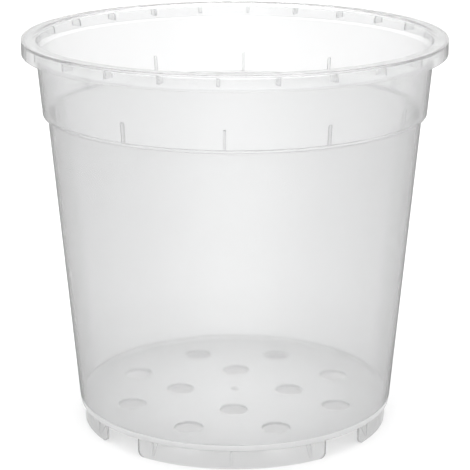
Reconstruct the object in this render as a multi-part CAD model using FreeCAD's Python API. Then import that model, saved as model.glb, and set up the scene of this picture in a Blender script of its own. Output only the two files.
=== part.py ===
import FreeCAD, Part
import math
import os

# Clear orchid pot, one injection moulding drawn as its moulded regions, in millimetres.
# +Z is up, -Y is the front, and the origin is the centre of the ring that the feet stand on.
# Walls, floor and feet meet face to face, and the small webs stand flat on them, so the solids
# together fill the moulding once.

# Overall form
BASE_DIAMETER = 129.8        # outside of the body at its underside
FOOT_HEIGHT = 8.0            # ground to the underside of the base
BODY_HEIGHT = 121.9          # underside of the base to the underside of the shoulder
COLLAR_HEIGHT = 30.6         # underside of the shoulder to the top of the rim
WALL = 1.0                   # body and collar wall, measured level
DRAFT_DEGREES = 4.9          # lean of every side wall, wider towards the top

# Shoulder, where the collar steps out from the body
STEP_WIDTH = 1.9
LEDGE_THICKNESS = 1.0

# Stacking ribs inside the collar, standing on the step
RIB_COUNT = 12
RIB_HEIGHT = 8.1
RIB_THICKNESS = 1.1
RIB_SETBACK = 0.4            # edge of the step to the inner edge of a rib
RIB_TOP_ROUND = 1.0
RIB_TURN_DEGREES = -2.8

# Rim: level flange with a skirt turned down at its edge
RIM_WIDTH = 5.13             # collar wall to the outside of the skirt, at the top
FLANGE_THICKNESS = 1.2
MOUTH_ROUND = 2.0            # inner edge of the rim, where the wall bends out
RIM_EDGE_CHAMFER = 0.4
SKIRT_DEPTH = 6.3            # top of the rim to the lower edge of the skirt
SKIRT_THICKNESS = 1.0

# Gussets hidden between collar and skirt
RIM_GUSSET_COUNT = 24
RIM_GUSSET_HEIGHT = 3.2
RIM_GUSSET_THICKNESS = 1.2
RIM_GUSSET_TURN_DEGREES = -4.1

# Base pan
FLOOR_THICKNESS = 1.1
HEEL_CHAMFER = 0.5           # outer corner of the underside
CORNER_ROUND = 1.5           # inner corner between floor and wall
BASE_TURN_DEGREES = -1.3

# Drain holes: (how many, diameter of the circle that they lie on, first one's angle)
HOLE_DIAMETER = 11.6
OUTER_HOLE_COUNT = 8
OUTER_HOLE_CIRCLE = 91.0
INNER_HOLE_COUNT = 4
INNER_HOLE_CIRCLE = 45.8

# Feet: one upright ring cut by the drainage slots
FOOT_NAMES = ("foot_front", "foot_right", "foot_back", "foot_left")
FOOT_SETBACK = 1.7           # edge of the underside to the outside of a foot
FOOT_THICKNESS = 1.2
SLOT_WIDTH = 19.4            # gap between two feet, wall to wall
FOOT_CORNER_ROUND = 2.5      # lower corners at each slot

# Webs that stiffen each foot from inside
FOOT_GUSSETS_PER_FOOT = 3
FOOT_GUSSET_PITCH_DEGREES = 30.0
FOOT_GUSSET_HEIGHT = 6.7
FOOT_GUSSET_DEPTH = 4.8      # along the underside of the floor
FOOT_GUSSET_TOE = 0.6        # along its lower edge
FOOT_GUSSET_THICKNESS = 1.0

# Injection point in the middle of the floor
GATE_DOME_DIAMETER = 3.4
GATE_DOME_TOP_DIAMETER = 2.0
GATE_DOME_HEIGHT = 1.2
GATE_STUB_DIAMETER = 2.0
GATE_STUB_LENGTH = 1.5

# Air between the flat end of a web and the round wall that it reaches
WEB_CLEARANCE = 0.05

# One overrun for every cutting tool
OVERRUN = 5.0

# Flats that stand for the arc of each round
ROUND_FLATS = 2

# Derived places
DRAFT = math.radians(DRAFT_DEGREES)
LEAN = math.tan(DRAFT)
FULL_TURN = 360.0
Z_BASE = FOOT_HEIGHT
Z_FLOOR = Z_BASE + FLOOR_THICKNESS
Z_PAN_TOP = Z_FLOOR + CORNER_ROUND * (1 - math.sin(DRAFT))
Z_SHOULDER = Z_BASE + BODY_HEIGHT
Z_LEDGE = Z_SHOULDER + LEDGE_THICKNESS
Z_TOP = Z_SHOULDER + COLLAR_HEIGHT
Z_FLANGE = Z_TOP - FLANGE_THICKNESS
Z_ELBOW = Z_TOP - MOUTH_ROUND * (1 - math.sin(DRAFT))
Z_SKIRT = Z_TOP - SKIRT_DEPTH
FOOT_COUNT = len(FOOT_NAMES)


def body_outside(z):
    """Radius of the body's outer wall at a height."""
    return BASE_DIAMETER / 2 + (z - Z_BASE) * LEAN


def body_inside(z):
    return body_outside(z) - WALL


def collar_outside(z):
    """Radius of the collar's outer wall at a height: the body's, moved out by the step."""
    return body_outside(z) + STEP_WIDTH


def collar_inside(z):
    return collar_outside(z) - WALL


RIM_RADIUS = collar_outside(Z_TOP) + RIM_WIDTH
SKIRT_INSIDE = RIM_RADIUS - SKIRT_THICKNESS
FOOT_OUTSIDE = BASE_DIAMETER / 2 - FOOT_SETBACK
FOOT_INSIDE = FOOT_OUTSIDE - FOOT_THICKNESS

ORIGIN = FreeCAD.Vector(0, 0, 0)
UP = FreeCAD.Vector(0, 0, 1)


def outline(corners):
    """Closed face in the XZ plane through (x, z) corners."""
    points = [FreeCAD.Vector(x, 0, z) for x, z in corners]
    return Part.Face(Part.makePolygon(points + points[:1]))


def arc_corners(x, z, radius, first_degrees, last_degrees):
    """Corners of the flats that stand for an arc about (x, z)."""
    corners = []
    for i in range(ROUND_FLATS + 1):
        angle = math.radians(first_degrees + (last_degrees - first_degrees) * i / ROUND_FLATS)
        corners.append((x + radius * math.cos(angle), z + radius * math.sin(angle)))
    return corners


def revolved(corners):
    """Ring or disc made by turning an outline about the pot's axis."""
    return outline(corners).revolve(ORIGIN, UP, FULL_TURN)


def turned(shape, degrees):
    """Copy of a shape turned about the pot's axis, from the front towards the right."""
    copy = shape.copy()
    copy.rotate(ORIGIN, UP, degrees)
    return copy


def from_front(shape, degrees):
    """A shape drawn along +X, placed at an angle measured from the front towards the right."""
    return turned(shape, degrees - FULL_TURN / 4)


def flat_end(radius, width):
    """Distance from the axis to a flat end of the given width, just clear of the round wall outside it."""
    return math.sqrt((radius - WEB_CLEARANCE) ** 2 - (width / 2) ** 2)


def web(corners, thickness, degrees):
    """Flat upright web of the given thickness, at an angle from the front."""
    plate = outline(corners).extrude(FreeCAD.Vector(0, thickness, 0))
    plate.translate(FreeCAD.Vector(0, -thickness / 2, 0))
    return from_front(plate, degrees)


def spaced(count, first_degrees):
    """Angles of equal copies all the way round, from the first one towards the right."""
    return [first_degrees + i * FULL_TURN / count for i in range(count)]


def under_elbow():
    """Radius where the flare under the elbow meets the underside of the flange."""
    return collar_outside(Z_FLANGE) + Z_FLANGE - Z_ELBOW


def rim_flange():
    """Top of the pot: the wall bends out into the level flange, with a round mouth."""
    mouth = arc_corners(collar_inside(Z_ELBOW) + MOUTH_ROUND * math.cos(DRAFT), Z_TOP - MOUTH_ROUND,
                        MOUTH_ROUND, 90, 180 - DRAFT_DEGREES)
    return revolved([
        (collar_outside(Z_ELBOW), Z_ELBOW),
        (under_elbow(), Z_FLANGE),
        (RIM_RADIUS, Z_FLANGE),
        (RIM_RADIUS, Z_TOP - RIM_EDGE_CHAMFER),
        (RIM_RADIUS - RIM_EDGE_CHAMFER, Z_TOP),
    ] + mouth)


def rim_skirt():
    """Upright band that hangs from the flange's edge."""
    return revolved([
        (SKIRT_INSIDE, Z_SKIRT),
        (RIM_RADIUS, Z_SKIRT),
        (RIM_RADIUS, Z_FLANGE),
        (SKIRT_INSIDE, Z_FLANGE),
    ])


def rim_gusset(degrees):
    """Web from the collar to the skirt, under the flange and along its flare."""
    bottom = Z_FLANGE - RIM_GUSSET_HEIGHT
    outer_end = flat_end(SKIRT_INSIDE, RIM_GUSSET_THICKNESS)
    return web([
        (collar_outside(bottom) + WEB_CLEARANCE, bottom),
        (outer_end, bottom),
        (outer_end, Z_FLANGE),
        (under_elbow() + WEB_CLEARANCE, Z_FLANGE),
        (collar_outside(Z_ELBOW) + WEB_CLEARANCE, Z_ELBOW),
    ], RIM_GUSSET_THICKNESS, degrees)


def collar_wall():
    """Wider upper wall, from the shoulder to the rim."""
    return revolved([
        (collar_inside(Z_LEDGE), Z_LEDGE),
        (collar_outside(Z_LEDGE), Z_LEDGE),
        (collar_outside(Z_ELBOW), Z_ELBOW),
        (collar_inside(Z_ELBOW), Z_ELBOW),
    ])


def shoulder_ledge():
    """Level step that carries the collar on the body."""
    return revolved([
        (body_inside(Z_SHOULDER), Z_SHOULDER),
        (collar_outside(Z_SHOULDER), Z_SHOULDER),
        (collar_outside(Z_LEDGE), Z_LEDGE),
        (body_inside(Z_LEDGE), Z_LEDGE),
    ])


def stacking_rib(degrees):
    """Upright rib in the collar that keeps nested pots from jamming."""
    top = Z_LEDGE + RIB_HEIGHT
    depth = STEP_WIDTH - RIB_SETBACK
    crown = arc_corners(collar_inside(top) - depth + RIB_TOP_ROUND, top - RIB_TOP_ROUND,
                        RIB_TOP_ROUND, 90, 180 - DRAFT_DEGREES)
    return web([
        (collar_inside(Z_LEDGE) - depth, Z_LEDGE),
        (flat_end(collar_inside(Z_LEDGE), RIB_THICKNESS), Z_LEDGE),
        (flat_end(collar_inside(top), RIB_THICKNESS), top),
    ] + crown, RIB_THICKNESS, degrees)


def body_wall():
    """Tapered main wall, from the base pan to the shoulder."""
    return revolved([
        (body_inside(Z_PAN_TOP), Z_PAN_TOP),
        (body_outside(Z_PAN_TOP), Z_PAN_TOP),
        (body_outside(Z_SHOULDER), Z_SHOULDER),
        (body_inside(Z_SHOULDER), Z_SHOULDER),
    ])


def drain_hole(circle_diameter, degrees):
    hole = Part.makeCylinder(HOLE_DIAMETER / 2, FLOOR_THICKNESS + OVERRUN * 2)
    hole.translate(FreeCAD.Vector(circle_diameter / 2, 0, Z_BASE - OVERRUN))
    return from_front(hole, degrees)


def drain_holes():
    """Cutters for both circles: the inner holes face the feet, the outer ones straddle them."""
    outer_first = BASE_TURN_DEGREES + FULL_TURN / OUTER_HOLE_COUNT / 2
    outer = [drain_hole(OUTER_HOLE_CIRCLE, degrees) for degrees in spaced(OUTER_HOLE_COUNT, outer_first)]
    inner = [drain_hole(INNER_HOLE_CIRCLE, degrees) for degrees in spaced(INNER_HOLE_COUNT, BASE_TURN_DEGREES)]
    return Part.makeCompound(outer + inner)


def base_floor():
    """Pan that closes the body: perforated floor with a rounded corner and a low wall."""
    corner = arc_corners(body_inside(Z_PAN_TOP) - CORNER_ROUND * math.cos(DRAFT), Z_FLOOR + CORNER_ROUND,
                         CORNER_ROUND, -DRAFT_DEGREES, -90)
    pan = revolved([
        (0, Z_BASE),
        (body_outside(Z_BASE) - HEEL_CHAMFER, Z_BASE),
        (body_outside(Z_BASE + HEEL_CHAMFER), Z_BASE + HEEL_CHAMFER),
        (body_outside(Z_PAN_TOP), Z_PAN_TOP),
    ] + corner + [
        (0, Z_FLOOR),
    ])
    return pan.cut(drain_holes())


def slot_cutter(degrees):
    """Gap between two feet, with the feet's rounded lower corners left standing."""
    half = SLOT_WIDTH / 2
    side = [(half, FOOT_HEIGHT + OVERRUN)]
    side += arc_corners(half + FOOT_CORNER_ROUND, FOOT_CORNER_ROUND, FOOT_CORNER_ROUND, 180, 270)
    side += [(half + FOOT_CORNER_ROUND, -OVERRUN)]
    other_side = [(-y, z) for y, z in reversed(side)]
    points = [FreeCAD.Vector(0, y, z) for y, z in side + other_side]
    gap = Part.Face(Part.makePolygon(points + points[:1]))
    return from_front(gap.extrude(FreeCAD.Vector(FOOT_OUTSIDE + OVERRUN, 0, 0)), degrees)


def feet():
    """The four arcs that are left of the standing ring, from the front one to the right."""
    ring = revolved([
        (FOOT_INSIDE, 0),
        (FOOT_OUTSIDE, 0),
        (FOOT_OUTSIDE, FOOT_HEIGHT),
        (FOOT_INSIDE, FOOT_HEIGHT),
    ])
    first_slot = BASE_TURN_DEGREES + FULL_TURN / FOOT_COUNT / 2
    slots = [slot_cutter(degrees) for degrees in spaced(FOOT_COUNT, first_slot)]
    arcs = ring.cut(slots).Solids
    named = {}
    for name, degrees in zip(FOOT_NAMES, spaced(FOOT_COUNT, BASE_TURN_DEGREES)):
        angle = math.radians(degrees)
        outwards = FreeCAD.Vector(math.sin(angle), -math.cos(angle), 0)
        named[name] = max(arcs, key=lambda arc: arc.CenterOfMass.dot(outwards))
    return named


def foot_gusset(degrees):
    """Tapered web behind a foot, hanging from the underside of the floor."""
    bottom = FOOT_HEIGHT - FOOT_GUSSET_HEIGHT
    outer_end = flat_end(FOOT_INSIDE, FOOT_GUSSET_THICKNESS)
    return web([
        (FOOT_INSIDE - FOOT_GUSSET_TOE, bottom),
        (outer_end, bottom),
        (outer_end, FOOT_HEIGHT),
        (FOOT_INSIDE - FOOT_GUSSET_DEPTH, FOOT_HEIGHT),
    ], FOOT_GUSSET_THICKNESS, degrees)


def foot_gusset_angles():
    """Angles of every foot's webs, spread evenly about the foot's middle."""
    middle = (FOOT_GUSSETS_PER_FOOT - 1) / 2
    angles = []
    for foot_degrees in spaced(FOOT_COUNT, BASE_TURN_DEGREES):
        for i in range(FOOT_GUSSETS_PER_FOOT):
            angles.append(foot_degrees + (i - middle) * FOOT_GUSSET_PITCH_DEGREES)
    return angles


def gate_dome():
    """Low frustum over the injection point."""
    dome = Part.makeCone(GATE_DOME_DIAMETER / 2, GATE_DOME_TOP_DIAMETER / 2, GATE_DOME_HEIGHT)
    dome.translate(FreeCAD.Vector(0, 0, Z_FLOOR))
    return dome


def gate_stub():
    """Trimmed stub of the sprue, under the dome."""
    stub = Part.makeCylinder(GATE_STUB_DIAMETER / 2, GATE_STUB_LENGTH)
    stub.translate(FreeCAD.Vector(0, 0, Z_BASE - GATE_STUB_LENGTH))
    return stub


def numbered(name, make, angles):
    """One part for each angle, named from 01."""
    return {"%s_%02d" % (name, i): make(degrees) for i, degrees in enumerate(angles, 1)}


def main():
    parts = {
        "rim_flange": rim_flange(),
        "rim_skirt": rim_skirt(),
        "collar_wall": collar_wall(),
        "shoulder_ledge": shoulder_ledge(),
        "body_wall": body_wall(),
        "base_floor": base_floor(),
        "gate_dome": gate_dome(),
        "gate_stub": gate_stub(),
    }
    parts.update(feet())
    parts.update(numbered("rim_gusset", rim_gusset, spaced(RIM_GUSSET_COUNT, RIM_GUSSET_TURN_DEGREES)))
    parts.update(numbered("stacking_rib", stacking_rib, spaced(RIB_COUNT, RIB_TURN_DEGREES)))
    parts.update(numbered("foot_gusset", foot_gusset, foot_gusset_angles()))
    os.makedirs("parts", exist_ok=True)
    for name, shape in parts.items():
        shape.exportStep("parts/" + name + ".step")
        box = shape.BoundBox
        print("%-15s solids %2d  valid %s  volume %9.2f  z %7.2f to %7.2f" % (
            name, len(shape.Solids), shape.isValid(), shape.Volume, box.ZMin, box.ZMax))
    print("rim diameter %.2f, height %.2f" % (RIM_RADIUS * 2, Z_TOP))


main()
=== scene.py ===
import math

import bmesh
import bpy
from bpy.props import FloatProperty, FloatVectorProperty, IntProperty, PointerProperty
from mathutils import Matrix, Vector


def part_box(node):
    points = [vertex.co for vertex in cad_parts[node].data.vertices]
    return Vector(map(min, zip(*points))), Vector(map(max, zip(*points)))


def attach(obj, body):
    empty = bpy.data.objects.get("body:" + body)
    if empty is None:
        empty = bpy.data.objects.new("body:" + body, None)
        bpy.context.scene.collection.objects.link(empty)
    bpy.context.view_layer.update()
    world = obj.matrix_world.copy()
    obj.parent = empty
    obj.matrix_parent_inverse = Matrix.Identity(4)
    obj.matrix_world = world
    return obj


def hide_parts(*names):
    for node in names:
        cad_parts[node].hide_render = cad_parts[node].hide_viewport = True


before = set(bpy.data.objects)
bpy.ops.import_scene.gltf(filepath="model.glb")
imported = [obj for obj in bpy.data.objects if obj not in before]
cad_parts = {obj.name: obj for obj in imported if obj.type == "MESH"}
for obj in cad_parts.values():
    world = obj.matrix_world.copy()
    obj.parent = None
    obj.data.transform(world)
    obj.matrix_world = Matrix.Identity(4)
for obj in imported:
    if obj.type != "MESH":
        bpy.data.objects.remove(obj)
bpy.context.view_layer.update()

bl_info = {
    "name": "Clear Orchid Pot",
    "version": (1, 0, 0),
    "blender": (4, 5, 0),
    "location": "View3D > Sidebar > Orchid Pot",
    "description": "Clear orchid pot with a stepped collar, turned-down rim, drain holes and slotted feet",
    "category": "Add Mesh",
}

BODY = "root"
MM = 0.001
FULL_TURN = 2 * math.pi
ROUND_STEPS = 288
HOLE_STEPS = 64
SAME_PLACE = 0.002 * MM
MERGE_DISTANCE = 0.001 * MM
SMOOTH_ANGLE = math.radians(35)
BEVEL_ANGLE = math.radians(40)
BEVEL_STEPS = 2
CUTTER_OVERRUN = 5 * MM

# Heights and radii that come from the frame, so that every piece stays where the solids are
Z_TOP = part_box("rim_flange")[1][2]
RIM_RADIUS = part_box("rim_flange")[1][0]
Z_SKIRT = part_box("rim_skirt")[0][2]
Z_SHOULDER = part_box("shoulder_ledge")[0][2]
Z_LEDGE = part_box("shoulder_ledge")[1][2]
Z_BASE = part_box("base_floor")[0][2]
Z_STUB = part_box("gate_stub")[0][2]
Z_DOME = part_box("gate_dome")[1][2]

FOOT_NAMES = ("front", "right", "back", "left")

# Small sizes of the gate mark, whose outer sizes come from the frame
DOME_TOP_RADIUS = 1.0 * MM
DOME_ROUND = 0.5 * MM
STUB_ROUND = 0.2 * MM


class PotSizes(bpy.types.PropertyGroup):
    base_diameter: FloatProperty(name="Base diameter", description="Outside of the body at its underside",
                                 default=129.8 * MM, unit="LENGTH")
    draft: FloatProperty(name="Draft", description="Lean of every side wall, wider towards the top",
                         default=math.radians(4.9), subtype="ANGLE")
    wall: FloatProperty(name="Wall", description="Body and collar wall, measured level",
                        default=1.0 * MM, unit="LENGTH")
    step: FloatProperty(name="Step", description="How far the collar stands out from the body",
                        default=1.9 * MM, unit="LENGTH")
    flange: FloatProperty(name="Flange thickness", description="Thickness of the level rim",
                          default=1.2 * MM, unit="LENGTH")
    skirt: FloatProperty(name="Skirt thickness", description="Thickness of the band that hangs from the rim",
                         default=1.0 * MM, unit="LENGTH")
    mouth_round: FloatProperty(name="Mouth round", description="Inner top edge of the rim, round the mouth",
                               default=2.0 * MM, unit="LENGTH")
    rim_round: FloatProperty(name="Rim edge round", description="Outer top edge of the rim",
                             default=0.5 * MM, unit="LENGTH")
    floor: FloatProperty(name="Floor thickness", description="Thickness of the perforated floor",
                         default=1.1 * MM, unit="LENGTH")
    corner_round: FloatProperty(name="Corner round", description="Inner corner between floor and wall",
                                default=1.5 * MM, unit="LENGTH")
    heel_round: FloatProperty(name="Heel round", description="Outer corner under the body",
                              default=0.6 * MM, unit="LENGTH")
    small_round: FloatProperty(name="Small round", description="Moulded edge of webs, ledge and skirt",
                               default=0.2 * MM, unit="LENGTH")
    joint: FloatProperty(name="Joint", description="Air between two pieces that meet",
                         default=0.02 * MM, unit="LENGTH")
    base_turn: FloatProperty(name="Base turn", description="Turn of floor holes and feet",
                             default=math.radians(-1.3), subtype="ANGLE")


class HoleSizes(bpy.types.PropertyGroup):
    diameter: FloatProperty(name="Diameter", description="Diameter of every drain hole",
                            default=11.6 * MM, unit="LENGTH")
    outer_count: IntProperty(name="Outer holes", description="Holes on the outer circle", default=8)
    outer_circle: FloatProperty(name="Outer circle", description="Diameter of the outer circle of holes",
                                default=91.0 * MM, unit="LENGTH")
    inner_count: IntProperty(name="Inner holes", description="Holes on the inner circle", default=4)
    inner_circle: FloatProperty(name="Inner circle", description="Diameter of the inner circle of holes",
                                default=45.8 * MM, unit="LENGTH")


class WebSizes(bpy.types.PropertyGroup):
    rib_count: IntProperty(name="Stacking ribs", description="Ribs that stand on the ledge", default=12)
    rib_height: FloatProperty(name="Rib height", description="Height of a stacking rib",
                              default=8.1 * MM, unit="LENGTH")
    rib_thickness: FloatProperty(name="Rib thickness", description="Thickness of a stacking rib",
                                 default=1.1 * MM, unit="LENGTH")
    rib_setback: FloatProperty(name="Rib setback", description="Edge of the ledge to the rib's inner edge",
                               default=0.4 * MM, unit="LENGTH")
    rib_round: FloatProperty(name="Rib top round", description="Inner top corner of a rib",
                             default=1.0 * MM, unit="LENGTH")
    rib_turn: FloatProperty(name="Rib turn", description="Angle of the first rib from the front",
                            default=math.radians(-2.8), subtype="ANGLE")
    rim_count: IntProperty(name="Rim webs", description="Webs between collar and skirt", default=24)
    rim_height: FloatProperty(name="Rim web height", description="Height of a web under the flange",
                              default=3.2 * MM, unit="LENGTH")
    rim_thickness: FloatProperty(name="Rim web thickness", description="Thickness of a web under the flange",
                                 default=1.2 * MM, unit="LENGTH")
    rim_turn: FloatProperty(name="Rim web turn", description="Angle of the first rim web from the front",
                            default=math.radians(-4.1), subtype="ANGLE")
    foot_height: FloatProperty(name="Foot web height", description="Height of a web behind a foot",
                               default=6.7 * MM, unit="LENGTH")
    foot_depth: FloatProperty(name="Foot web depth", description="Length of a foot web along the floor",
                              default=4.8 * MM, unit="LENGTH")
    foot_toe: FloatProperty(name="Foot web toe", description="Length of a foot web along its lower edge",
                            default=0.6 * MM, unit="LENGTH")
    foot_thickness: FloatProperty(name="Foot web thickness", description="Thickness of a web behind a foot",
                                  default=1.0 * MM, unit="LENGTH")
    foot_pitch: FloatProperty(name="Foot web pitch", description="Angle from one foot web to the next",
                              default=math.radians(30), subtype="ANGLE")
    foot_count: IntProperty(name="Webs per foot", description="Webs behind each foot", default=3)


class FootSizes(bpy.types.PropertyGroup):
    setback: FloatProperty(name="Setback", description="Edge of the underside to the outside of a foot",
                           default=1.7 * MM, unit="LENGTH")
    thickness: FloatProperty(name="Thickness", description="Thickness of a foot",
                             default=1.2 * MM, unit="LENGTH")
    slot: FloatProperty(name="Slot width", description="Gap between two feet",
                        default=19.4 * MM, unit="LENGTH")
    corner: FloatProperty(name="Corner round", description="Lower corners of a foot at each slot",
                          default=2.5 * MM, unit="LENGTH")


class PotLook(bpy.types.PropertyGroup):
    tint: FloatVectorProperty(name="Tint", description="Hue of the natural plastic",
                              subtype="COLOR", size=3, default=(1.0, 1.002, 1.004))
    haze: FloatProperty(name="Haze", description="Roughness that blurs what lies behind the wall",
                        default=0.08)
    ior: FloatProperty(name="Index of refraction", description="How strongly the plastic bends light",
                       default=1.49)


class StageLook(bpy.types.PropertyGroup):
    paper: FloatProperty(name="Floor grey", description="Grey of the stage floor", default=0.46)
    floor: FloatProperty(name="Floor glow", description="Own light of the stage floor", default=0.46)
    horizon: FloatProperty(name="Horizon", description="Strength of the soft light at eye level",
                           default=0.75)
    overhead: FloatProperty(name="Overhead", description="What the soft light gains straight above",
                            default=1.45)
    top: FloatProperty(name="Top softbox", description="Power of the softbox above the pot", default=6.0)
    front: FloatProperty(name="Front softbox", description="Power of the softbox behind the camera",
                         default=6.0)
    backdrop: FloatProperty(name="Backdrop", description="Brightness of the surround seen directly",
                            default=1.2)


def sizes():
    """Sizes of the walls, rim and floor, which most pieces share."""
    return bpy.context.scene.pot_sizes


def haze():
    """Roughness of the walls and feet."""
    return bpy.context.scene.pot_look.haze


def body_outside(z):
    """Radius of the body's outer wall at a height."""
    return sizes().base_diameter / 2 + (z - Z_BASE) * math.tan(sizes().draft)


def body_inside(z):
    """Radius of the body's inner wall at a height."""
    return body_outside(z) - sizes().wall


def collar_outside(z):
    """Radius of the collar's outer wall at a height."""
    return body_outside(z) + sizes().step


def collar_inside(z):
    """Radius of the collar's inner wall at a height."""
    return collar_outside(z) - sizes().wall


def spaced(count, first):
    """Angles of equal copies all the way round."""
    return [first + i * FULL_TURN / count for i in range(count)]


def from_front(radius, angle):
    """Place on a circle, its angle counted from the front towards the right."""
    return Vector((radius * math.sin(angle), -radius * math.cos(angle), 0))


def flat_end(radius, thickness):
    """Where the flat end of a web stops, so that its corners stay inside a round wall of this radius."""
    return math.sqrt(radius ** 2 - (thickness / 2) ** 2)


def mean_reach(piece, direction):
    """How far a piece lies in a direction, as the mean of its corners."""
    corners = piece.data.vertices
    return sum(v.co.dot(direction) for v in corners) / len(corners)


def select_only(piece):
    """Makes a piece the only selected object, and the active one."""
    bpy.ops.object.select_all(action="DESELECT")
    piece.select_set(True)
    bpy.context.view_layer.objects.active = piece


def drawn_outline(name, corners):
    """New object with one flat face in the XZ plane, drawn corner by corner from a single vertex."""
    bpy.ops.object.select_all(action="DESELECT")
    first = Vector((corners[0][0], 0, corners[0][1]))
    bpy.ops.mesh.primitive_plane_add(size=MM, location=first)
    piece = bpy.context.object
    piece.name = piece.data.name = name
    bpy.ops.object.transform_apply(location=True, rotation=True, scale=True)
    bpy.ops.object.mode_set(mode="EDIT")
    bpy.ops.mesh.select_all(action="SELECT")
    bpy.ops.mesh.merge(type="CENTER")
    for (x0, z0), (x1, z1) in zip(corners, corners[1:]):
        bpy.ops.mesh.extrude_vertices_move(TRANSFORM_OT_translate={"value": (x1 - x0, 0, z1 - z0)})
    bpy.ops.mesh.select_all(action="SELECT")
    bpy.ops.mesh.edge_face_add()
    return piece


def round_corner(piece, x, z, reach, steps):
    """Rounds one corner of a flat outline; reach is counted along both of its edges."""
    place = Vector((x, 0, z))
    bpy.ops.mesh.select_all(action="DESELECT")
    bpy.ops.mesh.select_mode(type="VERT")
    mesh = bmesh.from_edit_mesh(piece.data)
    corners = [v for v in mesh.verts if (v.co - place).length < SAME_PLACE]
    if not corners:
        raise RuntimeError("no corner to round in " + piece.name)
    for corner in corners:
        corner.select_set(True)
    mesh.select_flush_mode()
    bmesh.update_edit_mesh(piece.data)
    bpy.ops.mesh.bevel(offset=reach, offset_type="OFFSET", segments=steps, affect="VERTICES")


def spin_outline():
    """Turns the outline being edited all the way round the pot's axis into a closed ring or disc."""
    bpy.ops.mesh.select_mode(type="FACE")
    bpy.ops.mesh.select_all(action="SELECT")
    bpy.ops.mesh.delete(type="ONLY_FACE")
    bpy.ops.mesh.select_mode(type="VERT")
    bpy.ops.mesh.select_all(action="SELECT")
    bpy.ops.mesh.spin(steps=ROUND_STEPS, angle=FULL_TURN, center=(0, 0, 0), axis=(0, 0, 1))
    tidy_mesh()


def tidy_mesh():
    """Merges doubles and turns every face of the mesh being edited outwards."""
    bpy.ops.mesh.select_all(action="SELECT")
    bpy.ops.mesh.remove_doubles(threshold=MERGE_DISTANCE)
    bpy.ops.mesh.normals_make_consistent(inside=False)


def extrude_outline(thickness):
    """Gives the flat outline being edited its thickness, half to each side."""
    bpy.ops.mesh.select_all(action="SELECT")
    bpy.ops.transform.translate(value=(0, -thickness / 2, 0))
    bpy.ops.mesh.extrude_region_move(TRANSFORM_OT_translate={"value": (0, thickness, 0)})
    tidy_mesh()


def leave_edit(piece):
    """Back to object mode, shaded smooth over rounds; weighted normals keep long flat faces flat."""
    bpy.ops.object.mode_set(mode="OBJECT")
    select_only(piece)
    bpy.ops.object.shade_smooth_by_angle(angle=SMOOTH_ANGLE)
    even = piece.modifiers.new("even_faces", "WEIGHTED_NORMAL")
    even.keep_sharp = True
    bpy.ops.object.modifier_apply(modifier=even.name)


def soften(piece, width):
    """Rounds every sharp edge with an applied bevel."""
    bpy.context.view_layer.objects.active = piece
    bevel = piece.modifiers.new("soft_edges", "BEVEL")
    bevel.limit_method = "ANGLE"
    bevel.angle_limit = BEVEL_ANGLE
    bevel.width = width
    bevel.segments = BEVEL_STEPS
    bpy.ops.object.modifier_apply(modifier=bevel.name)


def cut_away(piece, cutters):
    """Takes the cutters out of a piece and removes them."""
    for cutter in cutters:
        bpy.context.view_layer.objects.active = piece
        cut = piece.modifiers.new("cut", "BOOLEAN")
        cut.operation = "DIFFERENCE"
        cut.solver = "EXACT"
        cut.object = cutter
        bpy.ops.object.modifier_apply(modifier=cut.name)
        bpy.data.objects.remove(cutter, do_unlink=True)


def turned_copies(piece, name, angles):
    """Replaces a piece modelled on the right of the pot by copies at angles counted from the front."""
    copies = []
    right = FULL_TURN / 4
    for i, angle in enumerate(angles, 1):
        copy = piece.copy()
        copy.data = piece.data.copy()
        copy.name = copy.data.name = "%s_%02d" % (name, i)
        bpy.context.scene.collection.objects.link(copy)
        select_only(copy)
        bpy.ops.object.mode_set(mode="EDIT")
        bpy.ops.mesh.select_all(action="SELECT")
        bpy.ops.transform.rotate(value=-(angle - right), orient_axis="Z", orient_type="GLOBAL",
                                 center_override=(0, 0, 0))
        bpy.ops.object.mode_set(mode="OBJECT")
        copies.append(copy)
    bpy.data.objects.remove(piece, do_unlink=True)
    return copies


def finish_piece(piece, material, *nodes):
    """Gives a piece its finish and its body, and hides the solids that it stands for."""
    piece.data.materials.clear()
    piece.data.materials.append(material)
    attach(piece, BODY)
    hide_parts(*nodes)


def node_group(name, inputs, outputs):
    """Empty shader node group with named sockets, and its input and output nodes."""
    group = bpy.data.node_groups.new(name, "ShaderNodeTree")
    for label, kind, value in inputs:
        socket = group.interface.new_socket(name=label, in_out="INPUT", socket_type=kind)
        if value is not None:
            socket.default_value = value
    for label, kind in outputs:
        group.interface.new_socket(name=label, in_out="OUTPUT", socket_type=kind)
    return group, group.nodes.new("NodeGroupInput"), group.nodes.new("NodeGroupOutput")


# Heights between which the painted light at the bottom of the body fades out, and the slow waves and clouds
# of the moulded surface
FADE_LOW = 10 * MM
FADE_HIGH = 100 * MM
WAVE_SCALE = 30.0
WAVE_DETAIL = 1.0
WAVE_STRENGTH = 0.05
WAVE_DEPTH = 0.5 * MM
CLOUD_SCALE = 60.0
CLOUD_DETAIL = 2.0
CLOUD_ROUGHNESS = 0.03
NOISE_MIDDLE = 0.5


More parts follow.
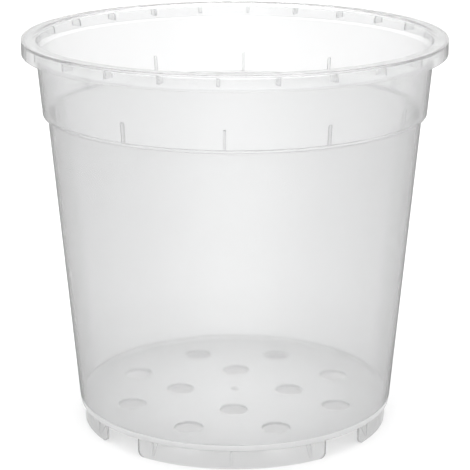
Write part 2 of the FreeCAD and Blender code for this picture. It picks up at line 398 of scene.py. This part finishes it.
def painted_light_fade():
    """Mask for the painted light, 1 at the floor and falling to 0 towards the upper part of the body."""
    if "painted_light_fade" in bpy.data.node_groups:
        return bpy.data.node_groups["painted_light_fade"]
    group, given, put = node_group("painted_light_fade", [
        ("Place", "NodeSocketVector", None),
        ("Low", "NodeSocketFloat", FADE_LOW),
        ("High", "NodeSocketFloat", FADE_HIGH)],
        [("Fade", "NodeSocketFloat")])
    split = group.nodes.new("ShaderNodeSeparateXYZ")
    span = group.nodes.new("ShaderNodeMapRange")
    span.inputs["To Min"].default_value = 1.0
    span.inputs["To Max"].default_value = 0.0
    group.links.new(given.outputs["Place"], split.inputs[0])
    group.links.new(split.outputs["Z"], span.inputs["Value"])
    group.links.new(given.outputs["Low"], span.inputs["From Min"])
    group.links.new(given.outputs["High"], span.inputs["From Max"])
    group.links.new(span.outputs["Result"], put.inputs["Fade"])
    return group


def moulded_surface():
    """Slow waviness of a moulded wall, and the faint clouding that goes with it."""
    if "moulded_surface" in bpy.data.node_groups:
        return bpy.data.node_groups["moulded_surface"]
    group, given, put = node_group("moulded_surface", [
        ("Place", "NodeSocketVector", None),
        ("Waves", "NodeSocketFloat", WAVE_SCALE),
        ("Roughness", "NodeSocketFloat", haze()),
        ("Clouding", "NodeSocketFloat", CLOUD_ROUGHNESS)],
        [("Height", "NodeSocketFloat"), ("Roughness", "NodeSocketFloat")])
    wave = group.nodes.new("ShaderNodeTexNoise")
    wave.inputs["Detail"].default_value = WAVE_DETAIL
    cloud = group.nodes.new("ShaderNodeTexNoise")
    cloud.inputs["Scale"].default_value = CLOUD_SCALE
    cloud.inputs["Detail"].default_value = CLOUD_DETAIL
    centre = group.nodes.new("ShaderNodeMath")
    centre.operation = "SUBTRACT"
    centre.inputs[1].default_value = NOISE_MIDDLE
    vary = group.nodes.new("ShaderNodeMath")
    vary.operation = "MULTIPLY_ADD"
    group.links.new(given.outputs["Place"], wave.inputs["Vector"])
    group.links.new(given.outputs["Place"], cloud.inputs["Vector"])
    group.links.new(given.outputs["Waves"], wave.inputs["Scale"])
    group.links.new(cloud.outputs[0], centre.inputs[0])
    group.links.new(centre.outputs[0], vary.inputs[0])
    group.links.new(given.outputs["Clouding"], vary.inputs[1])
    group.links.new(given.outputs["Roughness"], vary.inputs[2])
    group.links.new(wave.outputs[0], put.inputs["Height"])
    group.links.new(vary.outputs[0], put.inputs["Roughness"])
    return group


# Greys of the plastic: where on the way from head-on (0) to glancing (1), and how light it is there. The fall
# of the grey towards glancing angles is painted shade.
# The step up in grey right at head-on is a painted highlight, a glow down the middle of the wall and collar
WALL_GREYS = ((0.0, 0.876), (0.06, 0.824), (0.17, 0.783), (0.35, 0.742), (0.51, 0.69), (0.64, 0.565),
              (0.72, 0.44), (0.85, 0.12), (1.0, 0.02))
COLLAR_GREYS = ((0.0, 0.91), (0.06, 0.864), (0.17, 0.84), (0.35, 0.80), (0.51, 0.72), (0.64, 0.54),
                (0.72, 0.36), (0.85, 0.10), (1.0, 0.02))
COLLAR_INNER_GREYS = ((0.0, 0.91), (0.06, 0.864), (0.17, 0.84), (0.35, 0.815), (0.51, 0.79), (0.64, 0.76),
                      (0.85, 0.66), (1.0, 0.50))
SKIRT_GREYS = ((0.0, 0.96), (0.35, 0.90), (0.51, 0.80), (0.64, 0.60), (0.72, 0.40), (0.85, 0.15), (1.0, 0.03))
LIP_GREYS = ((0.0, 0.95), (0.35, 0.905), (0.64, 0.85), (0.85, 0.78), (1.0, 0.60))
RIM_GREYS = ((0.0, 0.975), (0.5, 0.96), (0.8, 0.92), (1.0, 0.80))
FLOOR_GREYS = ((0.0, 0.90), (0.5, 0.885), (0.8, 0.86), (1.0, 0.80))
RIB_GREYS = ((0.0, 0.97), (0.35, 0.93), (0.7, 0.80), (1.0, 0.50))
RIM_WEB_GREYS = ((0.0, 0.94), (0.7, 0.88), (1.0, 0.65))
FOOT_GREYS = ((0.0, 0.85), (0.35, 0.81), (0.51, 0.70), (0.7, 0.55), (1.0, 0.35))
FOOT_WEB_GREYS = ((0.0, 0.99), (0.7, 0.97), (1.0, 0.90))

# The walls shine less than the other faces, and the outer ones blur where they are seen at a glancing angle
WALL_SHINE = 0.1
SILHOUETTE_BLUR = 0.35
BLUR_FROM = 0.7
BLUR_TO = 0.95


def clear_plastic(name, greys, transmission, roughness, fade=0.0, specular=0.5, edge=0.0):
    """Clear plastic whose grey falls towards glancing angles, a painted shade.

    A fade above 0 paints shade towards the floor, and one below 0 paints light there.
    """
    if name in bpy.data.materials:
        return bpy.data.materials[name]
    look = bpy.context.scene.pot_look
    material = bpy.data.materials.new(name)
    material.use_nodes = True
    nodes, links = material.node_tree.nodes, material.node_tree.links
    shader = nodes["Principled BSDF"]
    place = nodes.new("ShaderNodeTexCoord")
    # Painted shade: Layer Weight's facing darkens the plastic through the grey ramp as the view turns
    # glancing
    facing = nodes.new("ShaderNodeLayerWeight")
    ramp = nodes.new("ShaderNodeValToRGB")
    stops = ramp.color_ramp.elements
    while len(stops) < len(greys):
        stops.new(1.0)
    for stop, (position, grey) in zip(stops, greys):
        stop.position = position
        stop.color = (grey * look.tint[0], grey * look.tint[1], grey * look.tint[2], 1)
    links.new(facing.outputs["Facing"], ramp.inputs["Fac"])
    painted_light_mask = nodes.new("ShaderNodeGroup")
    painted_light_mask.node_tree = painted_light_fade()
    links.new(place.outputs["Object"], painted_light_mask.inputs["Place"])
    # Painted light on the walls: the grey is multiplied by 1 - fade near the floor, which lightens it when
    # fade is below 0
    mix = nodes.new("ShaderNodeMix")
    mix.data_type = "RGBA"
    mix.blend_type = "MULTIPLY"
    links.new(painted_light_mask.outputs["Fade"], mix.inputs["Factor"])
    links.new(ramp.outputs["Color"], mix.inputs["A"])
    mix.inputs["B"].default_value = (1 - fade, 1 - fade, 1 - fade, 1)
    links.new(mix.outputs["Result"], shader.inputs["Base Color"])
    surface = nodes.new("ShaderNodeGroup")
    surface.node_tree = moulded_surface()
    surface.inputs["Roughness"].default_value = roughness
    links.new(place.outputs["Object"], surface.inputs["Place"])
    blur = nodes.new("ShaderNodeMapRange")
    blur.inputs["From Min"].default_value = BLUR_FROM
    blur.inputs["From Max"].default_value = BLUR_TO
    blur.inputs["To Max"].default_value = edge
    links.new(facing.outputs["Facing"], blur.inputs["Value"])
    rough = nodes.new("ShaderNodeMath")
    rough.operation = "ADD"
    links.new(surface.outputs["Roughness"], rough.inputs[0])
    links.new(blur.outputs["Result"], rough.inputs[1])
    links.new(rough.outputs[0], shader.inputs["Roughness"])
    bump = nodes.new("ShaderNodeBump")
    bump.inputs["Strength"].default_value = WAVE_STRENGTH
    bump.inputs["Distance"].default_value = WAVE_DEPTH
    links.new(surface.outputs["Height"], bump.inputs["Height"])
    links.new(bump.outputs["Normal"], shader.inputs["Normal"])
    shader.inputs["IOR"].default_value = look.ior
    shader.inputs["Transmission Weight"].default_value = transmission
    shader.inputs["Specular IOR Level"].default_value = specular
    return material


def wall_plastic():
    """Body wall, a little lighter towards the floor by painted light."""
    return clear_plastic("wall_plastic", WALL_GREYS, transmission=0.92, roughness=haze(), fade=-0.06,
                         specular=WALL_SHINE, edge=SILHOUETTE_BLUR)


def collar_plastic():
    """Outer face of the collar."""
    return clear_plastic("collar_plastic", COLLAR_GREYS, transmission=0.92, roughness=haze(),
                         specular=WALL_SHINE, edge=SILHOUETTE_BLUR)


def collar_inner_plastic():
    """Inner face of the collar, which gets less painted shade at glancing angles."""
    return clear_plastic("collar_inner_plastic", COLLAR_INNER_GREYS, transmission=0.92, roughness=haze(),
                         specular=WALL_SHINE)


def lip_plastic():
    """Wall at the skirt's height, and the faces that look into the pocket behind the skirt."""
    return clear_plastic("lip_plastic", LIP_GREYS, transmission=0.94, roughness=0.09)


def rim_plastic():
    """Mouth round and level top of the rim, a little milky."""
    return clear_plastic("rim_plastic", RIM_GREYS, transmission=0.88, roughness=0.15)


def skirt_plastic():
    """Outer face of the turned-down skirt."""
    return clear_plastic("skirt_plastic", SKIRT_GREYS, transmission=0.94, roughness=0.11, specular=WALL_SHINE,
                         edge=SILHOUETTE_BLUR)


def ledge_plastic():
    """Level step inside the collar."""
    return clear_plastic("ledge_plastic", RIM_GREYS, transmission=0.75, roughness=0.14)


def floor_plastic():
    """Milky floor and its gate mark."""
    return clear_plastic("floor_plastic", FLOOR_GREYS, transmission=0.25, roughness=0.12)


def heel_plastic():
    """Outer corner round the floor."""
    return clear_plastic("heel_plastic", FLOOR_GREYS, transmission=0.50, roughness=0.20)


def rib_plastic():
    """Ribs that stand on the ledge."""
    return clear_plastic("rib_plastic", RIB_GREYS, transmission=0.85, roughness=0.06)


def rim_web_plastic():
    """Webs under the flange."""
    return clear_plastic("rim_web_plastic", RIM_WEB_GREYS, transmission=0.90, roughness=0.10)


def foot_plastic():
    """Arc feet, with more painted shade at glancing angles than the webs behind them."""
    return clear_plastic("foot_plastic", FOOT_GREYS, transmission=0.78, roughness=haze())


def foot_web_plastic():
    """Webs behind the feet, nearly clear."""
    return clear_plastic("foot_web_plastic", FOOT_WEB_GREYS, transmission=0.92, roughness=0.05)


def refinish(piece, material, test):
    """Second finish for the faces whose centre passes a test."""
    piece.data.materials.append(material)
    for face in piece.data.polygons:
        if test(face.center):
            face.material_index = len(piece.data.materials) - 1


class POT_OT_rim_and_collar(bpy.types.Operator):
    """Rim with its turned-down skirt, collar wall and shoulder ledge, in one sweep round the pot"""
    bl_idname = "pot.rim_and_collar"
    bl_label = "Rim and Collar"

    def execute(self, context):
        pot = sizes()
        z_flange = Z_TOP - pot.flange
        skirt_inside = RIM_RADIUS - pot.skirt
        # Both faces of the collar have a corner at the skirt's height, where their finish changes
        piece = drawn_outline("rim_and_collar", [
            (body_inside(Z_SHOULDER), Z_SHOULDER),
            (collar_outside(Z_SHOULDER), Z_SHOULDER),
            (collar_outside(Z_SKIRT), Z_SKIRT),
            (collar_outside(z_flange), z_flange),
            (skirt_inside, z_flange),
            (skirt_inside, Z_SKIRT),
            (RIM_RADIUS, Z_SKIRT),
            (RIM_RADIUS, Z_TOP),
            (collar_inside(Z_TOP), Z_TOP),
            (collar_inside(Z_SKIRT), Z_SKIRT),
            (collar_inside(Z_LEDGE), Z_LEDGE),
            (body_inside(Z_LEDGE), Z_LEDGE),
        ])
        mouth_reach = pot.mouth_round / math.tan((math.pi / 2 + pot.draft) / 2)
        under_bend = pot.mouth_round * 0.4
        pocket_round = pot.small_round * 2
        ledge_round = pot.small_round * 1.5
        for x, z, reach, steps in (
                (collar_outside(Z_SHOULDER), Z_SHOULDER, ledge_round, 3),
                (collar_outside(z_flange), z_flange, under_bend, 5),
                (skirt_inside, z_flange, pocket_round, 3),
                (skirt_inside, Z_SKIRT, pot.small_round, 2),
                (RIM_RADIUS, Z_SKIRT, pot.small_round, 2),
                (RIM_RADIUS, Z_TOP, pot.rim_round, 4),
                (collar_inside(Z_TOP), Z_TOP, mouth_reach, 8),
                (collar_inside(Z_LEDGE), Z_LEDGE, ledge_round, 3),
                (body_inside(Z_LEDGE), Z_LEDGE, pot.small_round, 2)):
            round_corner(piece, x, z, reach, steps)
        spin_outline()
        leave_edit(piece)

        # Each finish covers the round at its own edge
        mouth_bottom = Z_TOP - pot.mouth_round * 0.9
        flange_middle = Z_TOP - pot.flange / 2
        skirt_middle = RIM_RADIUS - pot.skirt / 2
        ledge_limit = Z_LEDGE + pot.small_round * 1.6
        finish_piece(piece, collar_plastic(), "rim_flange", "rim_skirt", "collar_wall", "shoulder_ledge")
        refinish(piece, collar_inner_plastic(), lambda place: Z_LEDGE < place.z < Z_SKIRT and
                 place.xy.length < collar_inside(place.z) + pot.wall / 3)
        refinish(piece, lip_plastic(), lambda place: place.z > Z_SKIRT)
        refinish(piece, rim_plastic(), lambda place: place.z > mouth_bottom and
                 (place.xy.length < collar_outside(place.z) or place.z > flange_middle))
        refinish(piece, skirt_plastic(), lambda place: place.z < Z_TOP - pot.rim_round and
                 place.xy.length > skirt_middle)
        refinish(piece, ledge_plastic(), lambda place: place.z < ledge_limit and
                 place.xy.length < collar_inside(place.z) - pot.small_round / 2)
        return {"FINISHED"}


class POT_OT_body_and_floor(bpy.types.Operator):
    """Tapered body wall and the perforated floor that closes it"""
    bl_idname = "pot.body_and_floor"
    bl_label = "Body and Floor"

    def execute(self, context):
        pot = sizes()
        holes = context.scene.hole_sizes
        z_floor = Z_BASE + pot.floor
        z_heel = z_floor + pot.corner_round
        z_wall_top = Z_SHOULDER - pot.joint
        # The corner of the outside at z_heel is where the heel's finish ends
        piece = drawn_outline("body_and_floor", [
            (0, Z_BASE),
            (body_outside(Z_BASE), Z_BASE),
            (body_outside(z_heel), z_heel),
            (body_outside(z_wall_top), z_wall_top),
            (body_inside(z_wall_top), z_wall_top),
            (body_inside(z_floor), z_floor),
            (0, z_floor),
        ])
        corner_reach = pot.corner_round * math.tan((math.pi / 2 - pot.draft) / 2)
        round_corner(piece, body_outside(Z_BASE), Z_BASE, pot.heel_round, 4)
        round_corner(piece, body_inside(z_floor), z_floor, corner_reach, 6)
        spin_outline()
        leave_edit(piece)
        cutters = []
        for count, circle, first in (
                (holes.outer_count, holes.outer_circle, pot.base_turn + FULL_TURN / holes.outer_count / 2),
                (holes.inner_count, holes.inner_circle, pot.base_turn)):
            for angle in spaced(count, first):
                bpy.ops.object.select_all(action="DESELECT")
                place = from_front(circle / 2, angle) + Vector((0, 0, Z_BASE + pot.floor / 2))
                bpy.ops.mesh.primitive_cylinder_add(vertices=HOLE_STEPS, radius=holes.diameter / 2,
                                                    depth=pot.floor * 3, location=place)
                cutters.append(bpy.context.object)
        bpy.ops.object.select_all(action="DESELECT")
        for cutter in cutters:
            cutter.select_set(True)
        bpy.context.view_layer.objects.active = cutters[0]
        bpy.ops.object.join()
        cut_away(piece, [bpy.context.object])
        leave_edit(piece)
        finish_piece(piece, wall_plastic(), "body_wall", "base_floor")
        heel_inside = body_outside(Z_BASE) - pot.heel_round
        refinish(piece, floor_plastic(), lambda place: place.z < z_heel and place.xy.length < heel_inside)
        refinish(piece, heel_plastic(), lambda place: place.z < z_heel and place.xy.length > heel_inside)
        return {"FINISHED"}


class POT_OT_stacking_ribs(bpy.types.Operator):
    """Upright ribs that stand on the ledge inside the collar"""
    bl_idname = "pot.stacking_ribs"
    bl_label = "Stacking Ribs"

    def execute(self, context):
        pot, webs = sizes(), context.scene.web_sizes
        foot, top = Z_LEDGE + pot.joint, Z_LEDGE + webs.rib_height
        depth = pot.step - webs.rib_setback
        inner_top = collar_inside(top) - depth
        piece = drawn_outline("collar_rib", [
            (collar_inside(Z_LEDGE) - depth, foot),
            (flat_end(collar_inside(foot) - pot.joint, webs.rib_thickness), foot),
            (flat_end(collar_inside(top) - pot.joint, webs.rib_thickness), top),
            (inner_top, top),
        ])
        round_corner(piece, inner_top, top, webs.rib_round, 6)
        extrude_outline(webs.rib_thickness)
        leave_edit(piece)
        soften(piece, pot.small_round * 1.5)
        leave_edit(piece)
        for i, rib in enumerate(turned_copies(piece, "collar_rib", spaced(webs.rib_count, webs.rib_turn)), 1):
            finish_piece(rib, rib_plastic(), "stacking_rib_%02d" % i)
        return {"FINISHED"}


class POT_OT_rim_webs(bpy.types.Operator):
    """Small webs hidden between the collar and the skirt, under the flange"""
    bl_idname = "pot.rim_webs"
    bl_label = "Rim Webs"

    def execute(self, context):
        pot, webs = sizes(), context.scene.web_sizes
        top = Z_TOP - pot.flange - pot.joint
        bottom = Z_TOP - pot.flange - webs.rim_height
        outer = flat_end(RIM_RADIUS - pot.skirt - pot.joint, webs.rim_thickness)
        bend = pot.mouth_round * 0.45
        gap = pot.joint * 2
        piece = drawn_outline("rim_web", [
            (collar_outside(bottom) + gap, bottom),
            (outer, bottom),
            (outer, top),
            (collar_outside(top) + bend, top),
            (collar_outside(top - bend) + gap, top - bend),
        ])
        extrude_outline(webs.rim_thickness)
        leave_edit(piece)
        soften(piece, pot.small_round / 2)
        leave_edit(piece)
        for i, web in enumerate(turned_copies(piece, "rim_web", spaced(webs.rim_count, webs.rim_turn)), 1):
            finish_piece(web, rim_web_plastic(), "rim_gusset_%02d" % i)
        return {"FINISHED"}


class POT_OT_feet(bpy.types.Operator):
    """Four arc feet, parted by the drainage slots"""
    bl_idname = "pot.feet"
    bl_label = "Feet"

    def execute(self, context):
        pot, feet = sizes(), context.scene.foot_sizes
        outside = pot.base_diameter / 2 - feet.setback
        inside = outside - feet.thickness
        top = Z_BASE - pot.joint
        ring = drawn_outline("foot_ring", [(inside, 0), (outside, 0), (outside, top), (inside, top)])
        spin_outline()
        leave_edit(ring)
        # Each cutter widens below the ground, so that its corners round the feet's lower corners
        half, over = feet.slot / 2, CUTTER_OVERRUN
        cutters = []
        for angle in spaced(len(FOOT_NAMES), pot.base_turn + FULL_TURN / len(FOOT_NAMES) / 2):
            slot = drawn_outline("slot", [
                (-half, Z_BASE + over), (-half, 0), (-half - over, 0), (-half - over, -over),
                (half + over, -over), (half + over, 0), (half, 0), (half, Z_BASE + over)])
            for side in (-half, half):
                round_corner(slot, side, 0, feet.corner, 8)
            bpy.ops.mesh.select_all(action="SELECT")
            bpy.ops.mesh.extrude_region_move(TRANSFORM_OT_translate={"value": (0, -outside - over, 0)})
            tidy_mesh()
            bpy.ops.transform.rotate(value=-angle, orient_axis="Z", orient_type="GLOBAL",
                                     center_override=(0, 0, 0))
            leave_edit(slot)
            cutters.append(slot)
        cut_away(ring, cutters)
        soften(ring, pot.small_round)
        select_only(ring)
        bpy.ops.object.mode_set(mode="EDIT")
        bpy.ops.mesh.separate(type="LOOSE")
        bpy.ops.object.mode_set(mode="OBJECT")
        arcs = list(context.selected_objects)
        if len(arcs) != len(FOOT_NAMES):
            raise RuntimeError("the foot ring fell into %d parts" % len(arcs))
        # The parts come in no fixed order, so each foot is found by where it lies and linked anew in its turn
        for name, angle in zip(FOOT_NAMES, spaced(len(FOOT_NAMES), pot.base_turn)):
            arc = max(arcs, key=lambda o: mean_reach(o, from_front(1, angle)))
            arc.name = arc.data.name = "foot_arc_" + name
            context.scene.collection.objects.unlink(arc)
            context.scene.collection.objects.link(arc)
            leave_edit(arc)
            finish_piece(arc, foot_plastic(), "foot_" + name)
        return {"FINISHED"}


class POT_OT_foot_webs(bpy.types.Operator):
    """Tapered webs behind each foot, under the floor"""
    bl_idname = "pot.foot_webs"
    bl_label = "Foot Webs"

    def execute(self, context):
        pot, feet, webs = sizes(), context.scene.foot_sizes, context.scene.web_sizes
        inside = pot.base_diameter / 2 - feet.setback - feet.thickness
        outer = flat_end(inside - pot.joint, webs.foot_thickness)
        top, bottom = Z_BASE - pot.joint, Z_BASE - webs.foot_height
        piece = drawn_outline("foot_web", [
            (inside - webs.foot_toe, bottom), (outer, bottom), (outer, top), (inside - webs.foot_depth, top)])
        extrude_outline(webs.foot_thickness)
        leave_edit(piece)
        soften(piece, pot.small_round / 2)
        leave_edit(piece)
        middle = (webs.foot_count - 1) / 2
        angles = [foot + (i - middle) * webs.foot_pitch
                  for foot in spaced(len(FOOT_NAMES), pot.base_turn) for i in range(webs.foot_count)]
        for i, web in enumerate(turned_copies(piece, "foot_web", angles), 1):
            finish_piece(web, foot_web_plastic(), "foot_gusset_%02d" % i)
        return {"FINISHED"}


class POT_OT_gate_mark(bpy.types.Operator):
    """Low dome over the injection point and the trimmed stub under it"""
    bl_idname = "pot.gate_mark"
    bl_label = "Gate Mark"

    def execute(self, context):
        pot = sizes()
        z_floor = Z_BASE + pot.floor
        z_dome_foot = z_floor + pot.joint
        dome_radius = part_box("gate_dome")[1][0]
        dome = drawn_outline("gate_nipple", [
            (0, z_dome_foot), (dome_radius, z_dome_foot), (DOME_TOP_RADIUS, Z_DOME), (0, Z_DOME)])
        round_corner(dome, DOME_TOP_RADIUS, Z_DOME, DOME_ROUND, 4)
        spin_outline()
        leave_edit(dome)
        finish_piece(dome, floor_plastic(), "gate_dome")
        z_stub_top = Z_BASE - pot.joint
        stub_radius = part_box("gate_stub")[1][0]
        stub = drawn_outline("gate_cut", [
            (0, Z_STUB), (stub_radius, Z_STUB), (stub_radius, z_stub_top), (0, z_stub_top)])
        round_corner(stub, stub_radius, Z_STUB, STUB_ROUND, 3)
        spin_outline()
        leave_edit(stub)
        finish_piece(stub, floor_plastic(), "gate_stub")
        return {"FINISHED"}


# The studio: sizes and places in metres, the camera's dip in degrees, its sensor and lens in millimetres
TABLE_WIDTH = 40
POT_MIDDLE = Vector((0, 0, 80 * MM))
FRONT_SOFTBOX_PLACE = (0, -1.7, 0.75)
FRONT_SOFTBOX_SIZE = (1.5, 1.4)
TOP_SOFTBOX_PLACE = (0, 0, 1.3)
TOP_SOFTBOX_SIZE = (1.0, 1.0)
CAMERA_PLACE = (0.00006, -0.70297, 0.28280)
CAMERA_DIP = 16.33
CAMERA_SENSOR = 36
CAMERA_LENS = 135.94
HEIGHT_POWER = 2.0
CLEAR_BOUNCES = 32
GLOSSY_BOUNCES = 16
DIFFUSE_BOUNCES = 12


def stage_paper(look):
    """Plain pale paper with a glow of its own, which keeps it white round the pot."""
    paper = bpy.data.materials.new("stage_paper")
    paper.use_nodes = True
    shader = paper.node_tree.nodes["Principled BSDF"]
    shader.inputs["Base Color"].default_value = (look.paper, look.paper, look.paper, 1)
    shader.inputs["Roughness"].default_value = 1.0
    shader.inputs["Specular IOR Level"].default_value = 0.0
    shader.inputs["Emission Color"].default_value = (1, 1, 1, 1)
    shader.inputs["Emission Strength"].default_value = look.floor
    return paper


def studio_light(look):
    """World light that grows from the horizon to straight above; the camera sees an even surround."""
    world = bpy.data.worlds.new("studio")
    world.use_nodes = True
    nodes, links = world.node_tree.nodes, world.node_tree.links
    background = nodes["Background"]
    direction = nodes.new("ShaderNodeTexCoord")
    height = nodes.new("ShaderNodeSeparateXYZ")
    links.new(direction.outputs["Generated"], height.inputs["Vector"])
    square = nodes.new("ShaderNodeMath")
    square.operation = "POWER"
    square.use_clamp = True
    links.new(height.outputs["Z"], square.inputs[0])
    square.inputs[1].default_value = HEIGHT_POWER
    rise = nodes.new("ShaderNodeMath")
    rise.operation = "MULTIPLY_ADD"
    links.new(square.outputs[0], rise.inputs[0])
    rise.inputs[1].default_value = look.overhead
    rise.inputs[2].default_value = look.horizon
    path = nodes.new("ShaderNodeLightPath")
    mix = nodes.new("ShaderNodeMix")
    mix.data_type = "FLOAT"
    links.new(rise.outputs[0], mix.inputs["A"])
    mix.inputs["B"].default_value = look.backdrop
    links.new(path.outputs["Is Camera Ray"], mix.inputs["Factor"])
    links.new(mix.outputs["Result"], background.inputs["Strength"])
    background.inputs["Color"].default_value = (1, 1, 1, 1)
    return world


def softbox(name, place, size, power):
    """Area light turned to the middle of the pot and not seen by the camera."""
    bpy.ops.object.light_add(type="AREA", location=place)
    lamp = bpy.context.object
    lamp.name = lamp.data.name = name
    lamp.data.shape = "RECTANGLE"
    lamp.data.size, lamp.data.size_y = size
    lamp.data.energy = power
    lamp.rotation_euler = (POT_MIDDLE - lamp.location).to_track_quat("-Z", "Y").to_euler()
    lamp.visible_camera = False


class POT_OT_stage(bpy.types.Operator):
    """Plain pale floor, soft light all round and the camera"""
    bl_idname = "pot.stage"
    bl_label = "Stage"

    def execute(self, context):
        look = context.scene.stage_look
        bpy.ops.object.select_all(action="DESELECT")
        bpy.ops.mesh.primitive_plane_add(size=TABLE_WIDTH, location=(0, 0, 0))
        floor = bpy.context.object
        floor.name = floor.data.name = "stage_floor"
        floor.data.materials.append(stage_paper(look))

        context.scene.world = studio_light(look)
        softbox("front_softbox", FRONT_SOFTBOX_PLACE, FRONT_SOFTBOX_SIZE, look.front)
        softbox("top_softbox", TOP_SOFTBOX_PLACE, TOP_SOFTBOX_SIZE, look.top)

        bpy.ops.object.camera_add(location=CAMERA_PLACE, rotation=(math.radians(90 - CAMERA_DIP), 0, 0))
        camera = bpy.context.object
        camera.name = camera.data.name = "photo_camera"
        camera.data.sensor_width = CAMERA_SENSOR
        camera.data.lens = CAMERA_LENS
        context.scene.camera = camera
        context.scene.view_settings.view_transform = "Standard"

        # Light has to pass many clear walls and webs before it reaches the camera
        context.scene.cycles.max_bounces = CLEAR_BOUNCES
        context.scene.cycles.transmission_bounces = CLEAR_BOUNCES
        context.scene.cycles.glossy_bounces = GLOSSY_BOUNCES
        context.scene.cycles.diffuse_bounces = DIFFUSE_BOUNCES
        return {"FINISHED"}


OPERATORS = (POT_OT_rim_and_collar, POT_OT_body_and_floor, POT_OT_stacking_ribs, POT_OT_rim_webs,
             POT_OT_feet, POT_OT_foot_webs, POT_OT_gate_mark, POT_OT_stage)
GROUPS = (("pot_sizes", PotSizes), ("hole_sizes", HoleSizes), ("web_sizes", WebSizes),
          ("foot_sizes", FootSizes), ("pot_look", PotLook), ("stage_look", StageLook))


class POT_PT_panel(bpy.types.Panel):
    """Sizes, finishes and steps of the pot"""
    bl_idname = "POT_PT_panel"
    bl_label = "Orchid Pot"
    bl_space_type = "VIEW_3D"
    bl_region_type = "UI"
    bl_category = "Orchid Pot"

    def draw(self, context):
        for attribute, group in GROUPS:
            box = self.layout.box()
            values = getattr(context.scene, attribute)
            for name in group.__annotations__:
                box.prop(values, name)
        for operator in OPERATORS:
            self.layout.operator(operator.bl_idname)


def register():
    for attribute, group in GROUPS:
        bpy.utils.register_class(group)
        setattr(bpy.types.Scene, attribute, PointerProperty(type=group))
    for operator in OPERATORS:
        bpy.utils.register_class(operator)
    bpy.utils.register_class(POT_PT_panel)


def unregister():
    bpy.utils.unregister_class(POT_PT_panel)
    for operator in reversed(OPERATORS):
        bpy.utils.unregister_class(operator)
    for attribute, group in reversed(GROUPS):
        delattr(bpy.types.Scene, attribute)
        bpy.utils.unregister_class(group)


def main():
    register()
    bpy.ops.pot.rim_and_collar()
    bpy.ops.pot.body_and_floor()
    bpy.ops.pot.stacking_ribs()
    bpy.ops.pot.rim_webs()
    bpy.ops.pot.feet()
    bpy.ops.pot.foot_webs()
    bpy.ops.pot.gate_mark()
    bpy.ops.pot.stage()


if __name__ == "__main__":
    main()
